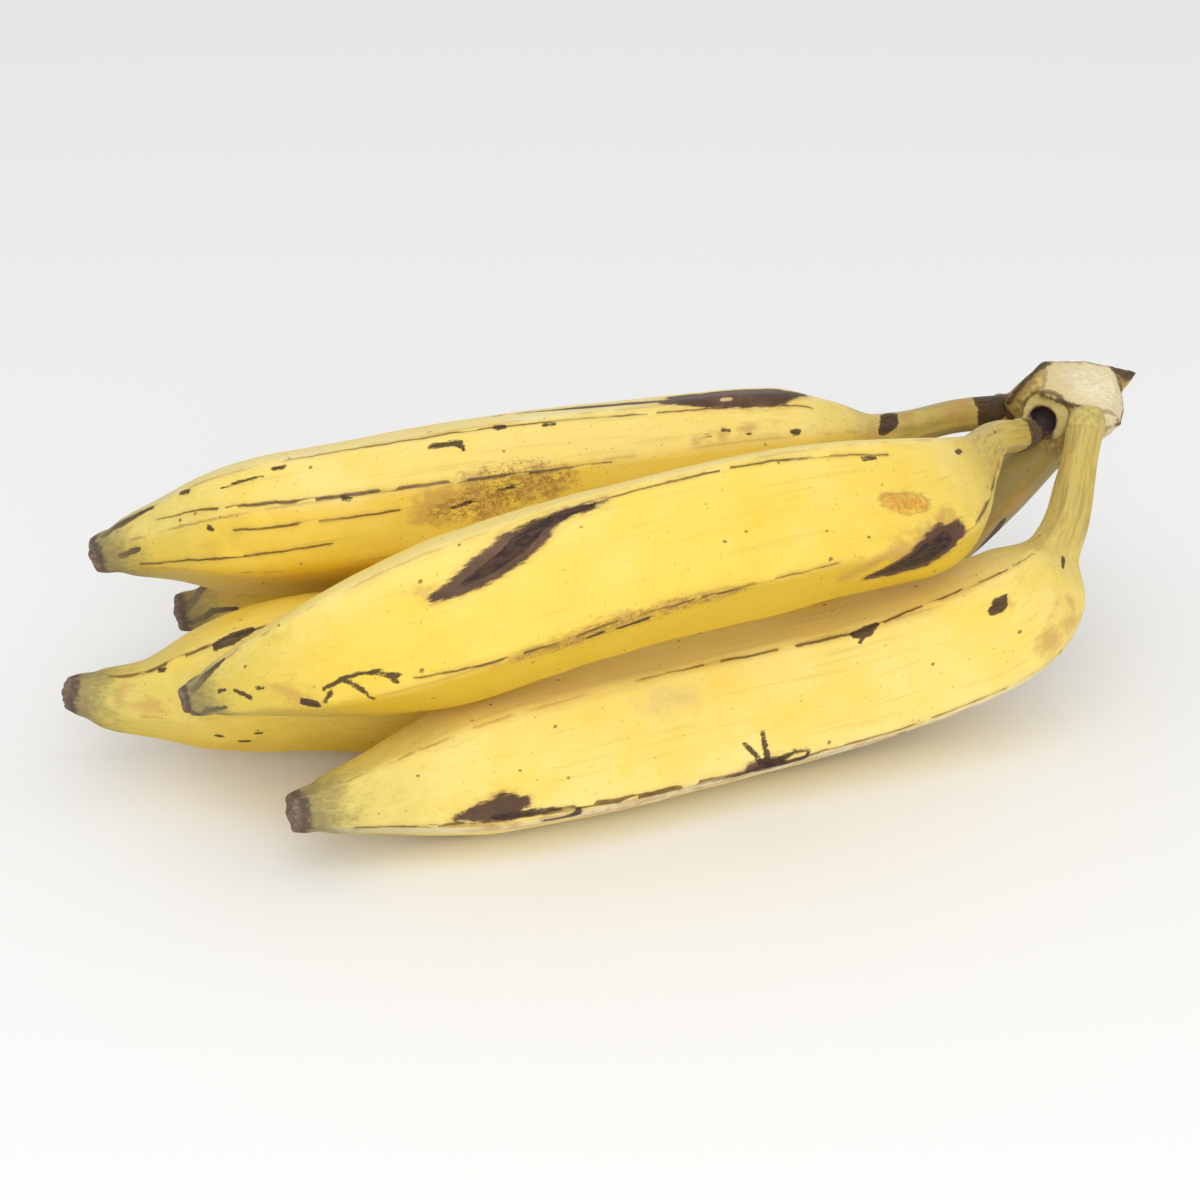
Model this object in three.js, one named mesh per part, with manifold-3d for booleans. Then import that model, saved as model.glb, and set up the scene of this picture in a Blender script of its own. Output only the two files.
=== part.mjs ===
// A hand of five ripe plantains, cut from its bunch and lying on its three lower fruits.
// Millimetres, +Z up. The tips point to -X and the necks meet the crown at +X.
// The origin is on the surface that the hand lies on, under the middle of its outline.
import * as THREE from "three";
import { mergeVertices } from "three/addons/utils/BufferGeometryUtils.js";
import Module from "manifold-3d";

const wasm = await Module();
wasm.setup();

// What all the fruits share
const TIP_DISH = 1.2; // depth of the hollow in the dried flower end
const TIP_HOLLOW = 0.55; // its share of the end's width
const FACE_FLATNESS = 0.62; // 0 is a round section, 1 one with flat faces between its ridges
const RIDGE_ROUNDING = 5; // degrees over which a ridge is rounded
const RIDGE_LIFT = 1.045; // ridges stand this much outside the fruit's mean radius
const STATIONS = 34; // rings along a fruit
const FACE_STEPS = 5; // steps between two ridges
const CENTRING = new THREE.Vector3(-12.31, -5.79, -0.8); // puts the origin under the middle

// Each fruit's line runs from its tip to its crown end; ridges are in degrees round it,
// 0 at its near side and 90 on top.
const FRUITS = [
  {
    name: "finger_front",
    line: [
      [-97, -60.5, 19.9], [-72.5, -56, 20.4], [-27, -47.5, 22.4], [22, -37, 23.9], [72.5, -30, 28.4],
      [116, -22.5, 38.4], [138.5, -4.5, 53.9], [147.5, 9.5, 64.9], [153.5, 19.5, 77.4],
    ],
    girth: [
      [0, 5], [10, 8.3], [22, 11.8], [38, 17], [57, 21.4], [84, 23.2], [119, 23.7],
      [163, 23.3], [189, 22.4], [214, 21.2], [231, 16.9], [246, 7.8], [266, 6.1], [288, 7],
    ],
    ridges: [57, 125, 195, 265, 333],
    colour: 0xf0d45c,
  },
  {
    name: "finger_middle",
    line: [
      [-120.5, -23.5, 38], [-98.5, -34.5, 49.5], [-59.5, -48, 65.5], [-11.5, -49.5, 79], [41, -40, 82.5],
      [85, -20.5, 77.5], [109, 0, 77], [123.5, 16, 78], [135, 26.5, 74],
    ],
    girth: [
      [0, 4.5], [10, 7.7], [22, 11.7], [38, 16.3], [58, 21.1], [84, 24.1], [119, 23.7],
      [164, 23.7], [194, 22.8], [219, 20.6], [236, 16.3], [252, 11.2], [272, 6.2], [293, 4.8],
    ],
    ridges: [79, 150, 218, 286, 356],
    colour: 0xf2da66,
  },
  {
    name: "finger_back",
    line: [
      [-141.5, 47, 51.5], [-118.5, 43.5, 57], [-73.5, 37.5, 62.5], [-25, 35.5, 67.5], [27.5, 37, 69],
      [74.5, 40.5, 70], [105, 45, 71.5], [122.5, 49, 72.5], [138, 51.5, 71.5],
    ],
    girth: [
      [0, 5], [10, 9], [22, 13.2], [38, 19.3], [58, 22.7], [85, 23.4], [120, 23.8],
      [165, 23.7], [183, 23.6], [208, 21.6], [224, 15.3], [240, 7.1], [260, 5.4], [282, 5.4],
    ],
    ridges: [70, 145, 210, 278, 346],
    colour: 0xe8c94c,
  },
  {
    name: "finger_lower",
    line: [
      [-153, 5, 29], [-133, 1, 27.5], [-83.5, -0.5, 32], [-26.5, 5, 24], [32, 15, 24],
      [84, 19, 28.5], [114, 25.5, 40.5], [131.5, 31.5, 51.5], [147, 37, 63.5],
    ],
    girth: [
      [0, 4.4], [10, 8.7], [22, 11.5], [38, 17.9], [58, 22.2], [85, 24.2], [120, 24.2],
      [165, 24], [215, 23.7], [240, 21.3], [257, 14.4], [273, 7.4], [293, 7.4], [315, 7.2],
    ],
    ridges: [70, 145, 220, 290, 360],
    colour: 0xdcbc48,
  },
  {
    name: "finger_hidden",
    line: [
      [-117, 71, 19], [-93, 66, 23], [-50, 59, 21], [-3, 61, 20.5], [46, 64, 24.5],
      [89, 64, 33], [116, 60, 43], [133, 57, 50], [149, 52, 56],
    ],
    girth: [
      [0, 5.3], [10, 7.8], [22, 13.6], [38, 18.2], [58, 21.5], [85, 22.3], [120, 22.4],
      [165, 22.4], [175, 22.5], [200, 20.3], [216, 13.7], [232, 7], [252, 7], [274, 7],
    ],
    ridges: [16, 88, 160, 232, 304],
    colour: 0xcfae44,
  },
];

// Crown: the fleshy cushion that the necks grow from
const CROWN_COLOUR = 0xdcc9a0;
const CLEARANCE = 0.3; // between a neck and the crown
const CROWN_DETAIL = 0.3; // slivers smaller than this are left out
const CUT_EDGE = [
  [142.4, 29, 85.5], [138.4, 36, 87.5], [135.5, 41, 79.5], [146.1, 38, 93], [159.9, 40, 90.9],
  [169.7, 40, 88.4], [170.5, 34, 81.1], [169.8, 30, 77.6], [166.3, 23, 76.3], [149.6, 24, 83.7],
]; // sharp corners left by the knife
const FLESH = [
  [146.5, 51, 72, 7.5], [157, 51, 73, 8], [157, 49, 66, 8], [156, 38, 68, 8], [159, 28, 78, 6],
]; // soft corners, each with its radius
const COLLAR_LIP = 0.6; // a collar stands this much outside its neck
const COLLAR_REACH = 5; // how far it runs straight before it turns into the cushion
const CUSHION_HEART = [157, 38, 76];
const SOCKET = { mouth: [143.7, 28.5, 78.4], facing: [-0.62, -0.77, 0.15], radius: 7.2, bore: 5, depth: 4.5, length: 14 };
const SPIKE = [[170, 39, 88.6], [170.5, 35, 80.8], [167, 46, 84], [173.5, 38, 86], [178.5, 42, 85]];
const STALK_SIDES = 16;

const vector = (p) => new THREE.Vector3(...p);

function spineOf(fruit) {
  const spine = new THREE.CatmullRomCurve3(fruit.line.map((p) => vector(p).add(CENTRING)));
  spine.arcLengthDivisions = 600;
  return spine;
}

// Radius of a section of one at an angle, flattened between its ridges
function facetedRadius(degrees, ridges) {
  const angle = ((degrees % 360) + 360) % 360;
  const sorted = ridges.map((r) => r % 360).sort((a, b) => a - b);
  const above = sorted.find((r) => r > angle) ?? sorted[0] + 360;
  const lower = sorted.filter((r) => r <= angle);
  const below = lower.length ? lower[lower.length - 1] : sorted[sorted.length - 1] - 360;
  const half = THREE.MathUtils.degToRad((above - below) / 2);
  const off = THREE.MathUtils.degToRad(angle - (above + below) / 2);
  return 1 + FACE_FLATNESS * (Math.cos(half) / Math.cos(off) - 1);
}

function sectionRadius(degrees, ridges) {
  const near = [-1, 0, 1].map((k) => facetedRadius(degrees + k * RIDGE_ROUNDING, ridges));
  return (RIDGE_LIFT * (near[0] + near[1] + near[2])) / 3;
}

// Mean radius of a fruit at a distance from its tip: a smooth curve through its girth table
function fruitRadius(girth, distance) {
  const last = girth.length - 1;
  const at = THREE.MathUtils.clamp(distance, girth[0][0], girth[last][0]);
  const steps = girth.slice(1).map(([x, r], i) => [x - girth[i][0], (r - girth[i][1]) / (x - girth[i][0])]);
  const slope = (i) => {
    if (i === 0 || i === last) return steps[Math.min(i, last - 1)][1];
    const [[w0, d0], [w1, d1]] = [steps[i - 1], steps[i]];
    return d0 * d1 <= 0 ? 0 : (w0 + w1) / (w0 / d1 + w1 / d0);
  };
  const i = Math.min(girth.findLastIndex(([x]) => x <= at), last - 1);
  const [width] = steps[i];
  const t = (at - girth[i][0]) / width;
  return (
    girth[i][1] * (1 + 2 * t) * (1 - t) ** 2 +
    slope(i) * width * t * (1 - t) ** 2 +
    girth[i + 1][1] * t * t * (3 - 2 * t) +
    slope(i + 1) * width * t * t * (t - 1)
  );
}

// Directions across a line and above it, where the line runs along a direction
function frameAt(direction, sideways) {
  const across = sideways.clone().addScaledVector(direction, -sideways.dot(direction)).normalize();
  return { across, above: new THREE.Vector3().crossVectors(across, direction) };
}

// Joins rings of points into one closed body; a ring of one point is an end
function skin(rings) {
  const positions = [];
  const starts = rings.map((ring) => {
    const start = positions.length / 3;
    ring.forEach((p) => positions.push(p.x, p.y, p.z));
    return start;
  });
  const faces = [];
  for (let i = 0; i + 1 < rings.length; i++) {
    const [a, b] = [starts[i], starts[i + 1]];
    const [na, nb] = [rings[i].length, rings[i + 1].length];
    const count = Math.max(na, nb);
    for (let k = 0; k < count; k++) {
      const next = (k + 1) % count;
      if (na === 1) faces.push(a, b + k, b + next);
      else if (nb === 1) faces.push(a + k, b, a + next);
      else faces.push(a + k, b + next, a + next, a + k, b + k, b + next);
    }
  }
  const geometry = new THREE.BufferGeometry();
  geometry.setAttribute("position", new THREE.Float32BufferAttribute(positions, 3));
  geometry.setIndex(faces);
  return geometry;
}

// Angles of a ring's points: every ridge, with even steps between
function ringAngles(ridges) {
  const sorted = ridges.map((r) => r % 360).sort((a, b) => a - b);
  return sorted.flatMap((start, i) => {
    const end = i + 1 < sorted.length ? sorted[i + 1] : sorted[0] + 360;
    return Array.from({ length: FACE_STEPS }, (_, k) => start + ((end - start) * k) / FACE_STEPS);
  });
}

// Stations stand closer together near both ends
function stationShare(i) {
  const even = i / (STATIONS - 1);
  return even - 0.06 * Math.sin(2 * Math.PI * even);
}

// A fruit's closed skin, or with a clearance the room that it takes up in the crown
function fruitGeometry(fruit, clearance = 0) {
  const spine = spineOf(fruit);
  const length = spine.getLength();
  const chord = spine.getPoint(1).sub(spine.getPoint(0));
  const sideways = new THREE.Vector3(chord.y, -chord.x, 0).normalize();
  const angles = ringAngles(fruit.ridges);
  const ring = (share, scale, inward) => {
    const direction = spine.getTangentAt(share);
    const { across, above } = frameAt(direction, sideways);
    const radius = scale * fruitRadius(fruit.girth, share * length) + clearance;
    const middle = spine.getPointAt(share).addScaledVector(direction, inward);
    return angles.map((degrees) => {
      const turn = THREE.MathUtils.degToRad(degrees);
      const reach = radius * sectionRadius(degrees, fruit.ridges);
      const point = middle.clone()
        .addScaledVector(across, reach * Math.cos(turn))
        .addScaledVector(above, reach * Math.sin(turn));
      point.z = Math.max(point.z, 0); // the belly is pressed flat where it lies
      return point;
    });
  };
  const tipInward = spine.getTangentAt(0);
  const rings = [
    [spine.getPoint(0).addScaledVector(tipInward, TIP_DISH / 3)],
    ring(0, TIP_HOLLOW, TIP_DISH),
    ...Array.from({ length: STATIONS }, (_, i) => ring(stationShare(i), 1, i + 1 < STATIONS ? 0 : clearance)),
    [spine.getPoint(1).addScaledVector(spine.getTangent(1), clearance)],
  ];
  return skin(rings);
}

function solidOf(geometry) {
  const bare = geometry.clone();
  bare.deleteAttribute("normal");
  bare.deleteAttribute("uv");
  const merged = mergeVertices(bare, 1e-3);
  return new wasm.Manifold(
    new wasm.Mesh({
      numProp: 3,
      vertProperties: merged.attributes.position.array,
      triVerts: new Uint32Array(merged.index.array),
    }),
  );
}

function geometryOf(solid) {
  const mesh = solid.getMesh();
  const geometry = new THREE.BufferGeometry();
  geometry.setAttribute("position", new THREE.Float32BufferAttribute(mesh.vertProperties, 3));
  geometry.setIndex(new THREE.Uint32BufferAttribute(mesh.triVerts, 1));
  return geometry;
}

// A round stalk along a few points, with a radius at each end
function stalk(points, radii) {
  const curve = new THREE.CatmullRomCurve3(points);
  const steps = 5;
  const sideways = new THREE.Vector3(0, -1, 0);
  const rings = [[curve.getPoint(0)]];
  for (let i = 0; i <= steps; i++) {
    const { across, above } = frameAt(curve.getTangent(i / steps), sideways);
    const radius = THREE.MathUtils.lerp(radii[0], radii[1], i / steps);
    rings.push(Array.from({ length: STALK_SIDES }, (_, k) => {
      const turn = (k / STALK_SIDES) * 2 * Math.PI;
      return curve.getPoint(i / steps)
        .addScaledVector(across, radius * Math.cos(turn))
        .addScaledVector(above, radius * Math.sin(turn));
    }));
  }
  rings.push([curve.getPoint(1)]);
  return solidOf(skin(rings));
}

function softCorner([x, y, z, radius]) {
  const ball = new THREE.SphereGeometry(radius, 10, 7).translate(x, y, z);
  const spots = ball.attributes.position;
  return Array.from({ length: spots.count }, (_, i) => new THREE.Vector3().fromBufferAttribute(spots, i));
}

function hullOf(points) {
  return wasm.Manifold.hull(points.map((p) => p.clone().add(CENTRING).toArray()));
}

function crownGeometry() {
  const heart = vector(CUSHION_HEART).add(CENTRING);
  let crown = hullOf([...CUT_EDGE.map(vector), ...FLESH.flatMap(softCorner)]);
  crown = crown.add(hullOf(SPIKE.map(vector)));
  for (const fruit of FRUITS) {
    const spine = spineOf(fruit);
    const root = spine.getPoint(1);
    const bend = root.clone().addScaledVector(spine.getTangent(1), COLLAR_REACH);
    const collar = fruit.girth[fruit.girth.length - 1][1] + COLLAR_LIP;
    crown = crown.add(stalk([root, bend, bend.clone().lerp(heart, 0.7)], [collar, collar + 1]));
  }
  const mouth = vector(SOCKET.mouth).add(CENTRING);
  const facing = vector(SOCKET.facing).normalize();
  const from = (reach) => mouth.clone().addScaledVector(facing, reach);
  crown = crown.add(stalk([mouth, from(-SOCKET.length / 2), from(-SOCKET.length)], [SOCKET.radius, SOCKET.radius]));
  crown = crown.subtract(stalk([from(1), from(0), from(-SOCKET.depth)], [SOCKET.bore, SOCKET.bore]));
  for (const fruit of FRUITS) crown = crown.subtract(solidOf(fruitGeometry(fruit, CLEARANCE)));
  return geometryOf(crown.simplify(CROWN_DETAIL));
}

function piece(name, geometry, colour) {
  const flat = geometry.toNonIndexed();
  flat.computeVertexNormals();
  const mesh = new THREE.Mesh(
    flat,
    new THREE.MeshStandardMaterial({ color: colour, roughness: 0.55, metalness: 0 }),
  );
  mesh.name = name;
  return mesh;
}

const hand = new THREE.Group();
hand.name = "plantain_hand";
hand.add(piece("crown", crownGeometry(), CROWN_COLOUR));
for (const fruit of FRUITS) hand.add(piece(fruit.name, fruitGeometry(fruit), fruit.colour));

export default hand;
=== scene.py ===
"""A hand of five ripe plantains, joined at their cut crown and lying on a pale floor.

It is laid out as an add-on and run as a script. Sizes in the tables are in millimetres.
Each fruit is drawn along its own line from the tip to the crown, and its blemishes are placed
by their distance along that line and their angle round it: 0 at the near side, 90 on top.
"""

import math

import bmesh
import bpy
import numpy as np
from bpy.props import FloatProperty, FloatVectorProperty, IntProperty, PointerProperty
from mathutils import Matrix, Vector, noise


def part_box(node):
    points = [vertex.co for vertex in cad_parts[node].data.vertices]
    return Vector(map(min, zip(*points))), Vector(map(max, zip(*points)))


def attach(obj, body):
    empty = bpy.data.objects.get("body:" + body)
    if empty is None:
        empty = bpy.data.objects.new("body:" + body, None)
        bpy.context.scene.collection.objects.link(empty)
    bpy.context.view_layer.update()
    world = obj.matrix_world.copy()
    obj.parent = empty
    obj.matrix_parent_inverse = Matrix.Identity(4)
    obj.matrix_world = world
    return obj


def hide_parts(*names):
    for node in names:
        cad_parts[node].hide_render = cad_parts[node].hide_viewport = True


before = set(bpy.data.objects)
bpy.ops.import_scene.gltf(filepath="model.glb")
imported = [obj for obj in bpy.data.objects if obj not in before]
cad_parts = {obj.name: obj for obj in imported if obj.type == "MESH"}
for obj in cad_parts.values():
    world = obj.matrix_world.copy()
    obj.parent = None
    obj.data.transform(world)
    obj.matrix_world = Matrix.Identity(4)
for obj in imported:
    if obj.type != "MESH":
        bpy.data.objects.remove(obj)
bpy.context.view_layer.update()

bl_info = {
    "name": "Plantain Hand",
    "version": (1, 0, 0),
    "blender": (4, 5, 0),
    "location": "View3D > Sidebar > Plantain",
    "description": "Models a hand of ripe plantains with procedural peel and a cut crown",
    "category": "Add Mesh",
}

MM = 0.001
CENTRING = np.array([-12.31, -5.79, -0.8])  # puts the origin under the middle of the hand

# Points along each fruit, from its tip to the end of its neck
LINES = {
    "front": [
        (-97, -60.5, 19.9), (-72.5, -56, 20.4), (-27, -47.5, 22.4), (22, -37, 23.9),
        (72.5, -30, 28.4), (116, -22.5, 38.4), (138.5, -4.5, 53.9), (147.5, 9.5, 64.9),
        (153.5, 19.5, 77.4),
    ],
    "middle": [
        (-120.5, -23.5, 38), (-98.5, -34.5, 49.5), (-59.5, -48, 65.5), (-11.5, -49.5, 79),
        (41, -40, 82.5), (85, -20.5, 77.5), (109, 0, 77), (123.5, 16, 78), (135, 26.5, 74),
    ],
    "back": [
        (-141.5, 47, 51.5), (-118.5, 43.5, 57), (-73.5, 37.5, 62.5), (-25, 35.5, 67.5),
        (27.5, 37, 69), (74.5, 40.5, 70), (105, 45, 71.5), (122.5, 49, 72.5), (138, 51.5, 71.5),
    ],
    "lower": [
        (-153, 5, 29), (-133, 1, 27.5), (-83.5, -0.5, 32), (-26.5, 5, 24), (32, 15, 24),
        (84, 19, 28.5), (114, 25.5, 40.5), (131.5, 31.5, 51.5), (147, 37, 63.5),
    ],
    "hidden": [
        (-117, 71, 19), (-93, 66, 23), (-50, 59, 21), (-3, 61, 20.5), (46, 64, 24.5), (89, 64, 33),
        (116, 60, 43), (133, 57, 50), (149, 52, 56),
    ],
}
# Distance from the tip, mean radius
GIRTHS = {
    "front": [
        (0, 5), (10, 8.3), (22, 11.8), (38, 17), (57, 21.4), (84, 23.2), (119, 23.7), (163, 23.3),
        (189, 22.4), (214, 21.2), (231, 16.9), (246, 7.8), (266, 6.3), (280, 5.5), (288, 5.7),
    ],
    "middle": [
        (0, 4.5), (10, 7.7), (22, 11.7), (38, 16.3), (58, 21.1), (84, 24.1), (119, 23.7),
        (164, 23.7), (194, 22.8), (219, 20.6), (236, 16.3), (252, 11.2), (272, 6.2), (293, 4.8),
    ],
    "back": [
        (0, 5), (10, 9), (22, 13.2), (38, 19.3), (58, 22.7), (85, 23.4), (120, 23.8), (165, 23.7),
        (183, 23.6), (208, 21.6), (224, 15.3), (240, 7.1), (260, 5.4), (282, 5.4),
    ],
    "lower": [
        (0, 4.4), (10, 8.7), (22, 11.5), (38, 17.9), (58, 22.2), (85, 24.2), (120, 24.2), (165, 24),
        (215, 23.7), (240, 21.3), (257, 14.4), (273, 7.4), (293, 7.4), (315, 7.2),
    ],
    "hidden": [
        (0, 5.3), (10, 7.8), (22, 13.6), (38, 18.2), (58, 21.5), (85, 22.3), (120, 22.4),
        (165, 22.4), (175, 22.5), (200, 20.3), (216, 13.7), (232, 7), (252, 7), (274, 7),
    ],
}
# Degrees round the fruit of its ridges
RIDGES = {
    "front": [67, 128, 196, 264, 345],
    "middle": [79, 150, 218, 286, 354],
    "back": [34, 72, 145, 210, 278, 346],
    "lower": [65, 145, 220, 290, 360],
    "hidden": [16, 88, 160, 232, 304],
}
# Degrees, paleness of the peel there: partly the peel's own tone, partly painted light and shade,
# paler on faces that a fruit above shades and deeper yellow on faces turned down
FACE_TONE_AND_SHADE = {
    "front": [
        (0, 0.72), (60, 0.72), (66, 0.8), (70, 0.95), (110, 0.9), (132, 0.45), (200, 0.3),
        (264, 0.5), (300, 0.9), (338, 1.4), (343, 1.3), (347, 0.9),
    ],
    "middle": [
        (0, 0.42), (40, 0.5), (75, 0.66), (82, 0.9), (120, 0.7), (180, 0.4), (250, 0.1), (320, 0),
        (350, 0), (356, 0.5),
    ],
    "back": [
        (0, 0.36), (28, 0.5), (36, 0.78), (66, 0.8), (74, 1.15), (120, 0.75), (200, 0.3), (330, 0),
    ],
    "lower": [(0, 0.62), (40, 0.66), (80, 0.5), (150, 0.3), (220, 0.2), (300, 0.1)],
    "hidden": [(0, 0), (90, 0.3), (150, 0.55), (200, 0.4), (300, 0)],
}
# How olive and dark the neck is, 0 to 1: the neck's own olive, and painted shade on the lower and
# hidden fruits, whose necks lie under the others
NECK_OLIVE_AND_SHADE = {"front": 0.35, "middle": 0.3, "back": 0.55, "lower": 0.95, "hidden": 0.9}
# Distance from the tip, degrees, size along, degrees round, height
BULGES = {
    "middle": [(228, 322, 17, 36, 5.5)],
}
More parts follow.
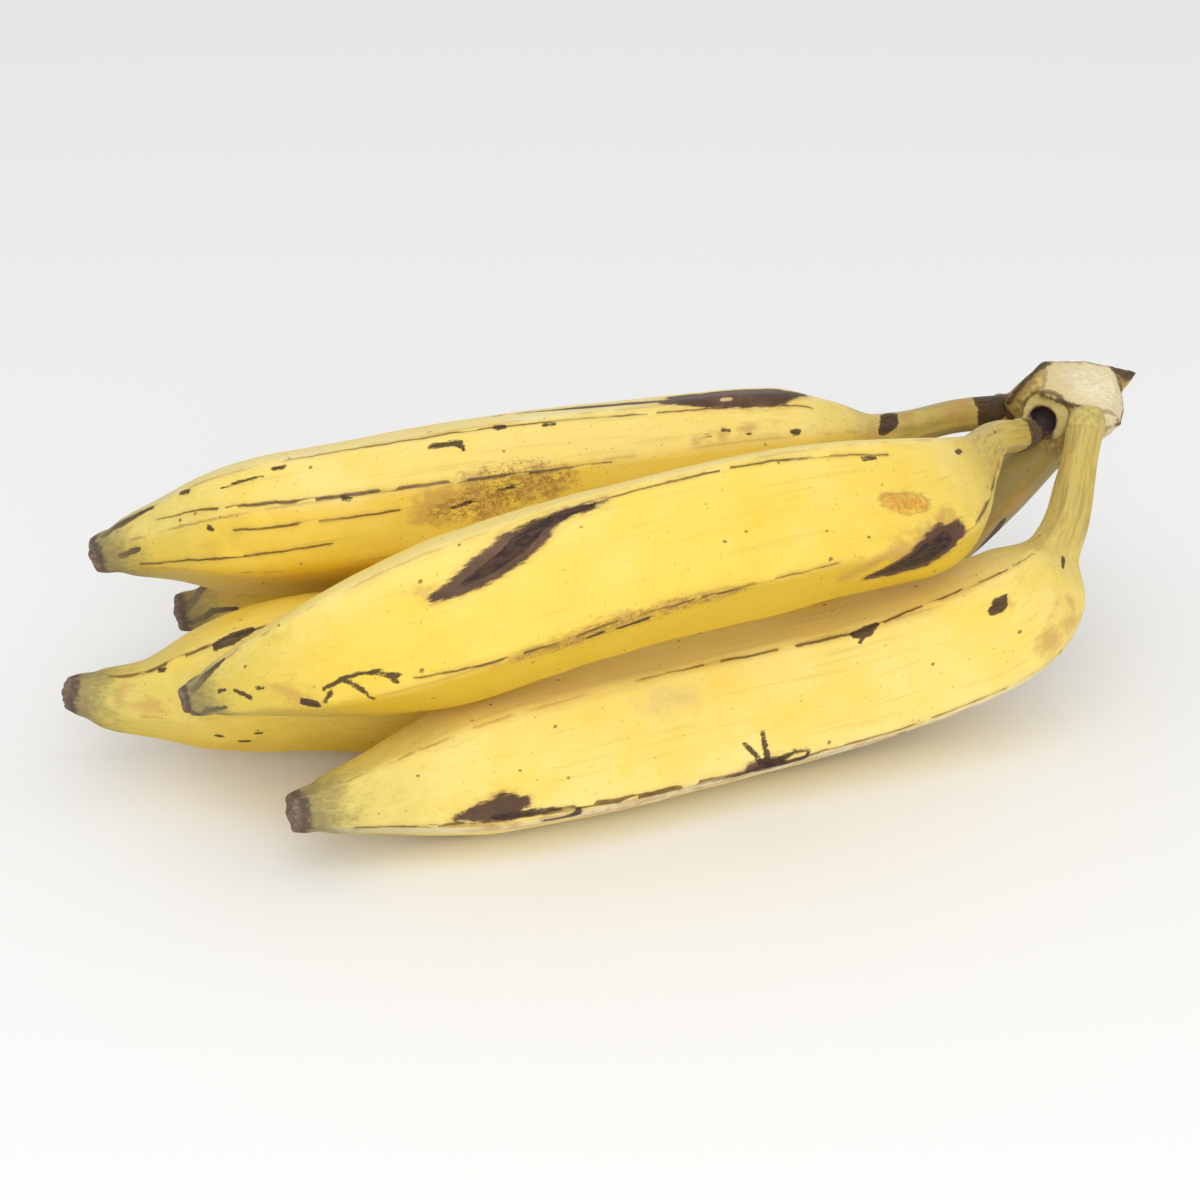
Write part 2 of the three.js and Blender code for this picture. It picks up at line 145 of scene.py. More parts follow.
# Blemishes by fruit and kind, and painted shadow on the lower fruit's neck: strokes whose points
# are distance from the tip, degrees, half width
MARKS = {
    ("front", "bruise"): [
        [(40, 351, 0.6), (45, 354, 2), (50, 356, 3.1), (55, 358, 3.4), (59, 358, 1.6)],
        [(52, 4, 1.6), (54, 8, 0.9)], [(126, 344, 2.2), (131, 344, 2.9), (135, 345, 1.8)],
        [(90, 165, 2.5), (104, 170, 4), (112, 168, 2)], [(176, 215, 3), (184, 220, 4)],
    ],
    ("front", "mark_and_shadow"): [
        [(50, 350, 0.7), (60, 350, 0.9), (68, 349, 0.5)],
        [(64, 339, 0.9), (69, 338, 1.2), (73, 342, 1.2), (73, 346, 0.7)],
        [(130, 345, 1.1), (125, 3, 0.7)], [(131, 345, 1.1), (131, 8, 0.7)],
        [(131, 345, 1), (140, 351, 0.6)], [(131, 343, 1.1), (143, 343, 0.8)],
        [(137, 351, 0.5), (144, 349, 0.6), (143, 343, 0.5)], [(120, 341, 0.5), (129, 343, 0.8)],
        [(165, 64, 1.2), (169, 64, 1.8), (173, 67, 0.7)], [(168, 62, 0.7), (166, 58, 0.4)],
        [(208, 50.5, 1.5), (210.5, 52, 2.3), (213.5, 56, 0.5)], [(92, 327, 0.8), (93, 330, 0.6)],
        [(110, 332, 0.7), (112, 331, 0.5)], [(171, 338, 0.7), (173, 339, 0.6)],
        [(191, 337, 0.7), (193, 338, 0.7)], [(236, 30, 0.7), (240, 31, 0.8)],
        [(150, 195, 0.9), (190, 194, 0.8)], [(205, 150, 1.2), (212, 152, 1)],
    ],
    ("front", "stain_and_shadow"): [
        [(206, 50, 2), (212, 50, 2.6)], [(217, 2, 3.5), (225, 5, 5)],
        [(46, 336, 3), (70, 333, 5), (100, 331, 5.5), (136, 330, 5), (180, 331, 4), (210, 333, 2)],
        [(60, 150, 4), (74, 145, 5)],
    ],
    ("front", "smudge"): [[(97, 51, 3), (104, 48, 5), (112, 45, 3)]],
    ("front", "crease"): [
        [(14, 344, 0.33), (30, 345, 0.3), (42, 348, 0.5), (60, 349, 0.8), (72, 348, 0.8)],
        [(72, 348, 0.8), (85, 346, 0.9), (103, 345, 0.8), (124, 343, 0.8)],
        [(134, 344, 0.5), (150, 345, 0.33), (176, 345, 0.22), (204, 346, 0.17)],
        [(96, 67, 0.055), (118, 67, 0.28), (141, 66, 0.39), (169, 65, 0.44), (188, 71, 0.44)],
        [(188, 71, 0.44), (203, 76, 0.44), (217, 74, 0.44), (232, 68, 0.17)],
    ],
    ("middle", "bruise"): [
        [(80, 50, 1.4), (86, 52, 3), (94, 57, 4.4), (102, 64, 4.6), (109, 69, 2.8)],
        [(98, 66, 1.8), (108, 71, 2.4), (116, 74, 1.4), (126, 75.5, 0.5)],
        [(196, 326, 2), (203, 333, 4.8), (209, 344, 6.4), (214, 353, 5.2), (221, 0, 2)],
        [(120, 160, 3), (134, 156, 4.6), (146, 160, 2)], [(64, 200, 2), (70, 205, 3)],
    ],
    ("middle", "mark_and_shadow"): [
        [(88, 53, 0.8), (96, 58, 2), (103, 65, 2.2), (108, 69, 1.2)],
        [(102, 69, 0.8), (112, 73, 1.2), (123, 75, 0.5)], [(40, 358, 1.2), (43.5, 354, 1.2)],
        [(47, 6, 0.5), (54, 12, 0.7), (59, 11, 0.6), (67, 4, 0.6)],
        [(53, 10, 0.6), (57, 1, 0.6), (59, 351, 0.5)], [(57, 12, 0.5), (63, 10, 0.6), (66, 0, 0.5)],
        [(49, 3, 0.6), (46, 356, 0.5)], [(112, 344, 0.8), (116, 345, 0.8)],
        [(120, 343, 0.7), (128, 346, 0.8)],
        [(198, 327, 0.8), (204, 334, 3.2), (210, 346, 4.6), (215, 354, 2.8)],
        [(195, 69, 0.6), (199, 69, 0.6)], [(236, 64, 0.8), (239, 63, 0.7)],
        [(5, 60, 1), (12, 74, 1.1), (19, 80, 0.6)], [(4, 330, 0.9), (8, 0, 0.9), (15, 2, 0.5)],
        [(15, 34, 0.7), (17, 33, 0.6)], [(20, 27, 0.6), (24, 10, 0.7)],
        [(27, 21, 0.6), (29, 19, 0.5)], [(100, 150, 0.6), (150, 149, 0.8), (188, 151, 0.6)],
        [(90, 128, 1), (94, 126, 0.8)],
    ],
    ("middle", "stain_and_shadow"): [
        [(72, 64, 1), (77, 57, 2.2), (83, 47, 1.6)],
        [(88, 352, 1), (104, 348, 2.4), (118, 349, 3), (131, 351, 2.4), (152, 351, 1)],
        [(198, 34, 2.2), (205, 30, 3.4), (212, 24, 2)], [(186, 336, 3), (200, 350, 6), (216, 4, 6)],
        [(30, 10, 3), (44, 2, 3)], [(160, 230, 4), (190, 236, 5)],
    ],
    ("middle", "scuff"): [
        [(94, 350, 1), (106, 347, 2.6), (122, 347, 3.2), (138, 350, 2.2), (154, 351, 1)],
    ],
    ("middle", "scab"): [[(199, 32, 2.6), (205, 28, 3.8), (210, 26, 2.6)]],
    ("middle", "crease"): [
        [(70, 0, 0.22), (90, 354, 0.44), (104, 351, 0.44), (120, 352, 0.5), (140, 352, 0.33)],
        [(141, 352, 0.44), (156, 353, 0.39), (180, 354, 0.17)],
        [(206, 350, 0.3), (222, 356, 0.4), (238, 0, 0.45), (252, 2, 0.4), (262, 4, 0.2)],
        [(126, 76, 0.28), (152, 77, 0.39), (180, 74, 0.33), (204, 70, 0.28)],
    ],
    ("back", "bruise"): [
        [(128, 96, 0.6), (146, 90, 2.2), (158, 88, 2.8), (168, 84, 2)],
        [(170, 78, 2.2), (180, 76, 4.6), (192, 74, 5.2), (204, 74, 4.8), (212, 78, 2.4)],
        [(176, 90, 4), (204, 90, 4.4)], [(90, 168, 3), (103, 172, 4.4), (116, 168, 2)],
        [(196, 160, 2), (201, 158, 3)],
    ],
    ("back", "mark_and_shadow"): [
        [(101, 62, 0.7), (109, 61, 1.1), (110, 55, 0.7)], [(122, 101, 1), (124, 101, 1)],
        [(120, 69, 1), (122, 69, 0.9)], [(30, 70, 0.8), (32, 68, 0.7)],
        [(5, 78, 1.2), (12, 74, 1.7), (21, 71, 0.7)], [(9, 12, 0.9), (15, 18, 0.9)],
        [(42, 60, 0.4), (50, 62, 0.5), (54, 61, 0.4)], [(37, 28, 0.8), (38, 25, 0.7)],
        [(75, 34, 0.8), (77, 33, 0.7)], [(57, 66, 0.7), (60, 66, 0.6)],
        [(205, 38, 1), (207, 37, 0.8)], [(178, 42, 0.5), (180, 42, 0.4)],
        [(184, 45, 0.5), (186, 44, 0.4)], [(191, 40, 0.6), (192, 39, 0.4)],
        [(133, 66, 0.7), (136, 66, 0.6)], [(104, 15, 0.35), (109, 17, 0.5), (112, 16, 0.4)],
        [(117, 22, 0.4), (122, 23, 0.5)],
        [(238, 30, 1.4), (241, 46, 2.6), (242, 58, 3), (243, 72, 2.4), (244, 96, 1)],
        [(276, 10, 4.2), (278, 60, 6.2), (279, 120, 5)], [(277, 200, 4), (278, 300, 4.4)],
        [(60, 145, 0.6), (120, 144, 0.8), (180, 146, 0.7)], [(130, 228, 1.2), (134, 230, 1)],
    ],
    ("back", "stain_and_shadow"): [
        [(176, 40, 1.5), (190, 42, 2.5), (202, 44, 1.5)],
        [(94, 12, 2.6), (109, 10, 4.5), (124, 14, 3.6), (134, 18, 2)],
        [(97, 22, 3.6), (113, 26, 5.2), (126, 26, 5), (136, 28, 3.2)],
        [(232, 30, 2.5), (247, 60, 3.5)], [(266, 40, 5), (270, 100, 5)],
        [(150, 190, 5), (170, 196, 4)],
    ],
    ("back", "scuff"): [
        [(100, 14, 2.5), (113, 17, 5.5), (126, 22, 5), (136, 26, 3)],
        [(108, 33, 1.4), (118, 34, 2.2), (130, 34, 2)],
    ],
    ("back", "fleck"): [[(187, 71, 1), (189, 71, 0.9)]],
    ("back", "crease"): [
        [(22, 50, 0.22), (40, 42, 0.44), (62, 37, 0.55), (85, 35, 0.55), (104, 33, 0.5)],
        [(104, 33, 0.5), (120, 31, 0.5), (138, 31, 0.44), (150, 32, 0.17)],
        [(44, 22, 0.33), (62, 21, 0.44), (90, 20, 0.33)],
        [(14, 352, 0.33), (40, 0, 0.39), (70, 4, 0.33)],
        [(60, 72, 0.22), (110, 70, 0.33), (160, 66, 0.28), (214, 60, 0.28)],
    ],
    ("lower", "bruise"): [[(120, 215, 3), (130, 220, 4)]],
    ("lower", "mark_and_shadow"): [
        [(45, 61, 1.4), (49, 63, 2), (54, 65, 1.5)], [(40, 330, 1), (41, 328, 0.9)],
        [(46, 318, 1), (48, 318, 0.9)], [(51, 333, 0.9), (52, 333, 0.8)],
        [(28, 58, 0.8), (29, 57, 0.8)], [(34, 30, 0.8), (36, 29, 0.7)],
        # Painted shadow: the dark shade between the middle's shoulder and this fruit's neck
        [(280, 296, 1.6), (286, 310, 2.8), (289, 326, 2)],
    ],
    ("lower", "stain_and_shadow"): [
        # The strokes from 268 mm from the tip on are painted shadow round the dark shade on this
        # fruit's neck
        [(18, 30, 4), (27, 20, 4)], [(274, 300, 4), (284, 330, 6), (286, 0, 5)],
        [(268, 344, 3), (280, 352, 4.5), (288, 352, 3)], [(276, 330, 4), (300, 350, 4)],
        [(150, 300, 5), (176, 306, 5)],
    ],
    ("lower", "crease"): [[(12, 62, 0.39), (30, 62, 0.55), (45, 63, 0.5), (66, 66, 0.39)]],
    ("hidden", "bruise"): [
        [(84, 150, 2), (96, 155, 4.4), (108, 152, 3)], [(150, 120, 2.4), (158, 124, 3)],
    ],
    ("hidden", "mark_and_shadow"): [
        [(3, 30, 1.4), (9, 80, 1.6), (18, 88, 0.8)], [(4, 340, 1.2), (12, 16, 1), (20, 17, 0.6)],
        [(60, 160, 0.7), (110, 160, 0.8), (176, 161, 0.6)], [(130, 176, 1), (135, 178, 1)],
    ],
    ("hidden", "stain_and_shadow"): [[(10, 30, 6), (24, 45, 5)], [(170, 170, 5), (190, 164, 4)]],
    ("hidden", "crease"): [[(50, 88, 0.28), (120, 88, 0.44), (190, 89, 0.33)]],
}
# Specks of the peel: cells to a unit, size, share of cells without one, strength
SPECKS = ((1.5, 0.11, 0.6, 0.75), (4.2, 0.13, 0.72, 0.6), (9, 0.2, 0.8, 0.35))
MARK_KINDS = ("bruise", "mark_and_shadow", "stain_and_shadow", "scuff", "scab", "smudge", "fleck")
MARK_REACH = 6.0  # beyond this distance from a mark its edge is no longer measured
MARK_LOOK = 14  # how far along the fruit from a stroke its mark is looked for
LINE_REACH = 2.5  # beyond this distance from a crease there is no crease
PALE_STEP = 4.0  # degrees over which the peel's paleness is averaged
LEAST_RADIUS = 4  # below it, degrees round the fruit count as if it were that thick
LAY_SCALE = 10  # millimetres to one unit of the noise textures
# The dried flower end: share of the end's radius, depth of its ragged face; then the tip of all
FLOWER_END = ((0.93, -0.5), (0.8, -0.8), (0.62, -0.5), (0.44, -0.9), (0.26, -1.4), (0.12, -1.7))
FLOWER_TIP = 1.8

# The crown: sharp corners left by the knife, soft corners with a radius, and its neck socket
CUT_EDGE = [
    (142.4, 29, 85.5), (138.4, 36, 87.5), (135.5, 41, 79.5), (146.1, 38, 93), (159.9, 40, 90.9),
    (169.7, 40, 88.4), (170.5, 34, 81.1), (169.8, 30, 77.6), (166.3, 23, 76.3), (149.6, 24, 83.7),
]
FLESH = [
    (146.5, 51, 72, 7.5), (157, 51, 73, 8), (157, 49, 66, 8), (156, 38, 68, 8), (159, 28, 78, 6),
    (160.5, 25, 79, 4.2),
]
CUSHION_HEART = (157, 38, 76)
SPIKE = [(170, 39, 88.6), (170.5, 35, 80.8), (167, 46, 84), (173.5, 38, 86), (178.5, 42, 85)]
CREAM_FACE = (3, 4, 5, 6, 7, 8, 9, 0)
# Corners that a dark edge passes, with its half width
DARK_EDGES = (
    ((3, 2.0), (1, 1.5), (2, 2.2)),
    ((0, 1.0), (9, 1.0), (8, 1.1)),
    ((5, 0.8), (6, 0.8), (7, 0.9), (8, 1.0)),
)
# Dark strokes in the crown, one of them painted shade: points with a half width each
DARK_SPOTS = (
    ((170, 39, 88.6, 2.2), (173.5, 38, 86, 2.0), (178.5, 42, 85, 2.0)),
    ((138, 50, 73, 4.5), (141, 48, 74, 5.5)),
    # Painted shade: the dark hollow round the end of the middle's neck, laid over its collar
    ((137, 26.5, 73.2, 5.6), (141, 28, 73.2, 5.4)),
    ((169.8, 30, 77.6, 0.9), (168.5, 28, 72, 1.3), (164, 29, 67, 1.5)),
)
CREAM_SPOTS = (
    ((165.5, 23, 75, 3.6), (162.5, 26, 69, 3.6)),
    ((152, 23, 81, 1.5), (160, 21, 79, 3.0), (166, 22, 77, 2.0)),
)
STALK_SPOTS = (((152.5, 18, 75, 8.0), (155, 22, 79, 7.4)),)
SOCKET_MOUTH = (143.7, 28.5, 78.4)
SOCKET_FACING = (-0.62, -0.77, 0.15)
SOCKET_RADIUS = 9.5  # with its rolled rim
SOCKET_DEPTH = 12
FAR_OFF = 20  # what the rest of the crown is from the socket
RIM_RADIUS = 7.8  # inside of it the skin is never a cut face
CUT_THICKNESS = 10.0  # how far off its plane the cut face may still be
COLLAR_LENGTH = 1.8

# The stage, in metres: name, place, diameter, watts of each light
LIGHTS = (("overhead", (-0.25, -0.9, 1.2), 1.3, 5), ("key", (-0.2, -1.4, 0.68), 0.9, 5))
LIGHTS_AIM = (0, 0, 0.04)
DAYLIGHT = 0.77  # strength of the even white light from all round
FLOOR_HALF = 6
FLOOR_ROUGHNESS = 0.9
SHEEN = 0.36  # specular level of peel and crown
CAMERA_PLACE = (-0.1655, -0.7267, 0.4037)
CAMERA_TURN = (64, 0, -12)
CAMERA_LENS, CAMERA_SENSOR = 85, 36


# Forms


def line_through(points, steps=240):
    """Points closely along a smooth curve through a few, and their distance from the first."""
    points = np.array(points, float)
    ends = np.vstack([2 * points[0] - points[1], points, 2 * points[-1] - points[-2]])
    out = []
    for i in range(len(points) - 1):
        p0, p1, p2, p3 = ends[i : i + 4]
        d0, d1, d2 = (np.linalg.norm(b - a) ** 0.5 for a, b in ((p0, p1), (p1, p2), (p2, p3)))
        t1 = ((p1 - p0) / d0 - (p2 - p0) / (d0 + d1) + (p2 - p1) / d1) * d1
        t2 = ((p2 - p1) / d1 - (p3 - p1) / (d1 + d2) + (p3 - p2) / d2) * d1
        u = np.linspace(0, 1, steps, endpoint=i == len(points) - 2)[:, None]
        bend = (2 * p1 - 2 * p2 + t1 + t2) * u**3 - (3 * p1 - 3 * p2 + 2 * t1 + t2) * u**2
        out.append(p1 + t1 * u + bend)
    curve = np.vstack(out)
    spans = np.linalg.norm(np.diff(curve, axis=0), axis=1)
    return curve, np.concatenate([[0], np.cumsum(spans)])


def girth_at(table, distance):
    """Mean radius at distances from the tip, on a smooth curve through the table."""
    at, radius = np.array(table, float).T
    width = np.diff(at)
    rise = np.diff(radius) / width
    slope = np.zeros(len(at))
    slope[0], slope[-1] = rise[0], rise[-1]
    for i in range(1, len(at) - 1):
        if rise[i - 1] * rise[i] > 0:
            both = width[i - 1] + width[i]
            slope[i] = both / (width[i - 1] / rise[i] + width[i] / rise[i - 1])
    distance = np.clip(distance, at[0], at[-1])
    i = np.clip(np.searchsorted(at, distance, side="right") - 1, 0, len(at) - 2)
    t = (distance - at[i]) / width[i]
    low = radius[i] * (1 + 2 * t) * (1 - t) ** 2 + slope[i] * width[i] * t * (1 - t) ** 2
    high = radius[i + 1] * t * t * (3 - 2 * t) + slope[i + 1] * width[i] * t * t * (t - 1)
    return low + high


def turn_from(angle, other):
    """Signed difference of two angles, in degrees."""
    return (angle - other + 180) % 360 - 180


def section_at(angle, ridges, flatness, rounding, lift):
    """Radius of a section of one at its angles, flattened between its ridges."""
    ridges = np.sort(np.array(ridges, float) % 360)
    posts = np.concatenate([[ridges[-1] - 360], ridges, [ridges[0] + 360]])
    total = 0
    for k in (-1.5, -0.5, 0.5, 1.5):
        turned = (angle + k * rounding / 1.5) % 360
        i = np.clip(np.searchsorted(posts, turned, side="right") - 1, 0, len(posts) - 2)
        half = np.radians((posts[i + 1] - posts[i]) / 2)
        off = np.radians(turned - (posts[i + 1] + posts[i]) / 2)
        total = total + 1 + flatness * (np.cos(half) / np.cos(off) - 1)
    return lift * total / 4


def mm_per_degree(radius):
    return np.maximum(radius, LEAST_RADIUS) * math.pi / 180


def smooth_step(low, high, value):
    """0 at low and 1 at high, or the other way round where low is the larger."""
    t = np.clip((value - low) / (high - low), 0, 1)
    return t * t * (3 - 2 * t)


def within_reach(distance):
    return np.clip(distance, -MARK_REACH, MARK_REACH)


def stretches(strokes):
    """The straight stretches of some strokes, each by its two ends."""
    for stroke in strokes:
        yield from zip(stroke[:-1], stroke[1:])


def marks_field(strokes, s, angle, radius):
    """Millimetres inside the nearest of some strokes; below 0 outside them."""
    best = np.full(s.shape, -MARK_REACH)
    per_degree = mm_per_degree(radius)
    for (s1, a1, w1), (s2, a2, w2) in stretches(strokes):
        near = (s > min(s1, s2) - MARK_LOOK) & (s < max(s1, s2) + MARK_LOOK)
        px, py = s[near] - s1, turn_from(angle[near], a1) * per_degree[near]
        qx, qy = s2 - s1, turn_from(a2, a1) * per_degree[near]
        t = np.clip((px * qx + py * qy) / np.maximum(qx * qx + qy * qy, 1e-6), 0, 1)
        inside = w1 + (w2 - w1) * t - np.hypot(px - t * qx, py - t * qy)
        best[near] = np.maximum(best[near], inside)
    return within_reach(best)


def lines_field(strokes, s, angle, radius):
    """Signed distance to the nearest line, and the line's half width; negative far from one."""
    offset = np.full(s.shape, MARK_REACH)
    width = np.full(s.shape, -MARK_REACH)
    per_degree = mm_per_degree(radius)
    for (s1, a1, w1), (s2, a2, w2) in stretches(strokes):
        px, py = s - s1, turn_from(angle, a1) * per_degree
        qx, qy = s2 - s1, turn_from(a2, a1) * per_degree
        long = np.hypot(qx, qy)
        t = (px * qx + py * qy) / long**2
        past = np.maximum(0, np.abs(t - 0.5) - 0.5) * long
        across = (py * qx - px * qy) / long
        near = np.hypot(across, past)
        nearer = near < np.minimum(np.abs(offset), MARK_REACH * 0.9)
        offset = np.where(nearer, across, offset)
        width = np.where(nearer, w1 + (w2 - w1) * np.clip(t, 0, 1) - past, width)
    return offset, np.where(np.abs(offset) < LINE_REACH, width, -MARK_REACH)


def ripple(points, size, seed):
    """Smooth random values of about -1 to 1 at points, changing over a size in millimetres."""
    shift = Vector((seed * 7.31, seed * 3.17, seed * 1.93))
    return np.array([noise.noise(Vector(p) / size + shift) for p in points])


def fruit_mesh(name, shape):
    """The peel of one fruit from its dried flower end to the end of its neck."""
    curve, reach = line_through(LINES[name])
    length = reach[-1]
    chord = curve[-1] - curve[0]
    sideways = np.array([chord[1], -chord[0], 0]) / np.hypot(chord[0], chord[1])
    even = np.linspace(0, 1, shape.rings)
    stations = (even - 0.05 * np.sin(2 * np.pi * even)) * length
    angles = np.arange(shape.sides) * 360 / shape.sides

    def on_line(distance):
        return np.column_stack([np.interp(distance, reach, curve[:, k]) for k in range(3)])

    at = on_line(stations)
    direction = on_line(stations + 1) - on_line(stations - 1)
    direction /= np.linalg.norm(direction, axis=1)[:, None]
    across = sideways - direction * (direction @ sideways)[:, None]
    across /= np.linalg.norm(across, axis=1)[:, None]
    above = np.cross(across, direction)

    s, angle = np.meshgrid(stations, angles, indexing="ij")
    base = girth_at(GIRTHS[name], s)
    seed = sum(map(ord, name)) % 17
    drift = ripple([(v, seed * 40, 0) for v in stations], 60, seed)[:, None] * shape.ridge_drift
    fade = smooth_step(0, 26, s) * smooth_step(length, length - 30, s)
    flatness = shape.flatness * (0.55 + 0.45 * fade)
    section = section_at(angle + drift, RIDGES[name], flatness, shape.rounding, shape.lift)
    ct, st = np.cos(np.radians(angle)), np.sin(np.radians(angle))
    flat = np.column_stack([s.ravel(), (base * ct).ravel(), (base * st).ravel()])
    swell = ripple(flat, 34, seed).reshape(s.shape) * shape.swell
    dents = ripple(flat, 11, seed + 5).reshape(s.shape) * shape.dents
    fields = {
        kind: marks_field(MARKS.get((name, kind), ()), s, angle, base) for kind in MARK_KINDS
    }
    for s1, a1, wide_s, wide_a, height in BULGES.get(name, ()):
        near = ((s - s1) / wide_s) ** 2 + (turn_from(angle, a1) / wide_a) ** 2
        swell = swell + height * np.exp(-near)
    sunken = 0.25 * smooth_step(-0.5, 1.5, fields["bruise"])
    sunken = sunken - 0.35 * smooth_step(-1, 1, fields["scab"])
    lobes = 1 + 0.1 * np.cos(np.radians(5 * (angle - RIDGES[name][0]))) * smooth_step(9, 0, s)
    pinch = 1 - 0.07 * np.exp(-(((s - 6) / 2.4) ** 2))
    body = smooth_step(0, 40, s) * smooth_step(length, length - 50, s)
    radius = base * section * lobes * pinch + (swell + dents * 0.5) * body - sunken
    points = (
        at[:, None]
        + (radius * ct)[..., None] * across[:, None]
        + (radius * st)[..., None] * above[:, None]
    )
    points += CENTRING
    points[..., 2] = np.maximum(points[..., 2], 0)

    # The flower end: a ragged face that bulges to the dried flower's nub
    first = points[0]
    middle = first.mean(0)
    rows = [points[i] for i in range(shape.rings)]
    s_rows = [np.full(shape.sides, v) for v in stations]
    for share, depth in FLOWER_END:
        ragged = ripple([(k, share * 20, 0) for k in angles], 30, seed)[:, None] * 0.45
        rows.insert(0, middle + (first - middle) * share + direction[0] * (depth + ragged))
        s_rows.insert(0, np.full(shape.sides, depth - 0.6))
    last = points[-1].mean(0)
    verts = np.vstack([np.vstack(rows), middle - direction[0] * FLOWER_TIP, last])
    rings, sides = len(rows), shape.sides
    pairs = [(k, (k + 1) % sides) for k in range(sides)]
    starts = [i * sides for i in range(rings)]
    faces = [
        (low + k, high + k, high + n, low + n)
        for low, high in zip(starts[:-1], starts[1:])
        for k, n in pairs
    ]
    start, end = rings * sides, rings * sides + 1
    faces += [(start, k, n) for k, n in pairs]
    faces += [(end, starts[-1] + n, starts[-1] + k) for k, n in pairs]

    mesh = bpy.data.meshes.new("plantain_" + name)
    mesh.from_pydata((verts * MM).tolist(), [], faces)
    mesh.update()
    mesh.shade_smooth()

    def spread(values, inner):
        """Values of the body's vertices, with one value for those of the two ends."""
        ends = np.full((rings - shape.rings) * sides, inner)
        return np.concatenate([ends, values.ravel(), [inner, values[-1].mean()]])

    s_all = np.concatenate([np.concatenate(s_rows), [-3.6, length]])
    turn = np.concatenate([np.tile(angles, rings), [0, 0]])
    wide = spread(base, base[0, 0])
    lay = [s_all, wide * np.cos(np.radians(turn)), wide * np.sin(np.radians(turn))]
    store(mesh, **{kind: spread(values, -MARK_REACH) for kind, values in fields.items()})
    offset, width = lines_field(MARKS[name, "crease"], s, angle, base)
    off = turn_from((turn + spread(drift + 0 * s, 0))[:, None], np.array(RIDGES[name])[None])
    off = off[np.arange(len(off)), np.abs(off).argmin(1)] * mm_per_degree(wide)
    # Paleness by angle: the peel's own tone with painted light and shade
    posts, pale = np.array(FACE_TONE_AND_SHADE[name], float).T
    pale_and_shade_at = 0
    for k in (-1, 0, 1):
        turned = (turn + k * PALE_STEP / 1.5) % 360
        pale_and_shade_at = pale_and_shade_at + np.interp(turned, posts, pale, period=360) / 3
    store(
        mesh,
        lay=np.column_stack(lay) / LAY_SCALE + seed * 3.7,
        crease=spread(offset, MARK_REACH),
        crease_width=spread(width, -MARK_REACH),
        crest=within_reach(off),
        crest_near=smooth_step(MARK_REACH * 0.9, MARK_REACH * 0.6, np.abs(off)),
        pale=pale_and_shade_at,
        from_tip=s_all,
        from_crown=length - s_all,
        neck=np.full(len(s_all), NECK_OLIVE_AND_SHADE[name]),
    )
    return mesh


def store(mesh, **layers):
    """Keeps a number or a vector for each vertex under a name, for the materials to read."""
    for name, values in layers.items():
        values = np.asarray(values, np.float32)
        kind, key = ("FLOAT", "value") if values.ndim == 1 else ("FLOAT_VECTOR", "vector")
        mesh.attributes.new(name, kind, "POINT").data.foreach_set(key, values.ravel())


def tube(bm, points, radii, sides=40):
    """A closed round tube through points, with a radius at each."""
    rings = []
    for i, (point, radius) in enumerate(zip(points, radii)):
        heading = Vector(points[min(i + 1, len(points) - 1)]) - Vector(points[max(i - 1, 0)])
        basis = heading.to_track_quat("Z", "X").to_matrix()
        ring = []
        for k in range(sides):
            a = 2 * math.pi * k / sides
            out = Vector((radius * math.cos(a), radius * math.sin(a), 0))
            ring.append(bm.verts.new(Vector(point) + basis @ out))
        rings.append(ring)
    for low, high in zip(rings[:-1], rings[1:]):
        for k in range(sides):
            bm.faces.new((low[k], low[(k + 1) % sides], high[(k + 1) % sides], high[k]))
    bm.faces.new(rings[0][::-1])
    bm.faces.new(rings[-1])


def hull(bm, points):
    """A closed convex lump through the outer ones of some points."""
    verts = [bm.verts.new(p) for p in points]
    made = bmesh.ops.convex_hull(bm, input=verts)
    for v in set(made["geom_interior"] + made["geom_unused"]):
        if isinstance(v, bmesh.types.BMVert):
            bm.verts.remove(v)


def apply_modifiers(obj):
    """Replaces a mesh by what its modifiers make of it."""
    ready = obj.evaluated_get(bpy.context.evaluated_depsgraph_get())
    mesh = bpy.data.meshes.new_from_object(ready)
    obj.modifiers.clear()
    obj.data = mesh


def add_object(name, mesh):
    obj = bpy.data.objects.new(name, mesh)
    bpy.context.collection.objects.link(obj)
    return obj


def mesh_of(bm, name):
    """A mesh in metres round the origin from one in millimetres round the tables' zero."""
    bm.transform(Matrix.Scale(MM, 4) @ Matrix.Translation(Vector(CENTRING)))
    mesh = bpy.data.meshes.new(name)
    bm.to_mesh(mesh)
    bm.free()
    return mesh


def inside_face(points, corners, thickness):
    """Millimetres inside a many-sided face, seen along its normal; below 0 outside it."""
    corners = np.array(corners, float)
    middle = corners.mean(0)
    u, v, normal = np.linalg.svd(corners - middle)[2]
    flat = (points - middle) @ np.array([u, v]).T
    around = (corners - middle) @ np.array([u, v]).T
    distance = np.full(len(points), 1e9)
    inside = np.zeros(len(points), bool)
    for a, b in zip(around, np.roll(around, -1, axis=0)):
        side = b - a
        t = np.clip(((flat - a) @ side) / (side @ side), 0, 1)
        distance = np.minimum(distance, np.linalg.norm(flat - a - t[:, None] * side, axis=1))
        crosses = (a[1] > flat[:, 1]) != (b[1] > flat[:, 1])
        slope = np.where(side[1] == 0, 1e-9, side[1])
        inside ^= crosses & (flat[:, 0] < a[0] + (flat[:, 1] - a[1]) * side[0] / slope)
    signed = np.where(inside, distance, -distance)
    return np.minimum(signed, thickness - np.abs((points - middle) @ normal))


def near_strokes(points, strokes):
    """Millimetres inside the nearest of some strokes, whose points have a half width each."""
    best = np.full(len(points), -1e9)
    for ends in stretches(strokes):
        a, b = np.array(ends, float)
        side = b[:3] - a[:3]
        t = np.clip(((points - a[:3]) @ side) / max(side @ side, 1e-9), 0, 1)
        gap = np.linalg.norm(points - a[:3] - t[:, None] * side, axis=1)
        best = np.maximum(best, a[3] + (b[3] - a[3]) * t - gap)
    return best


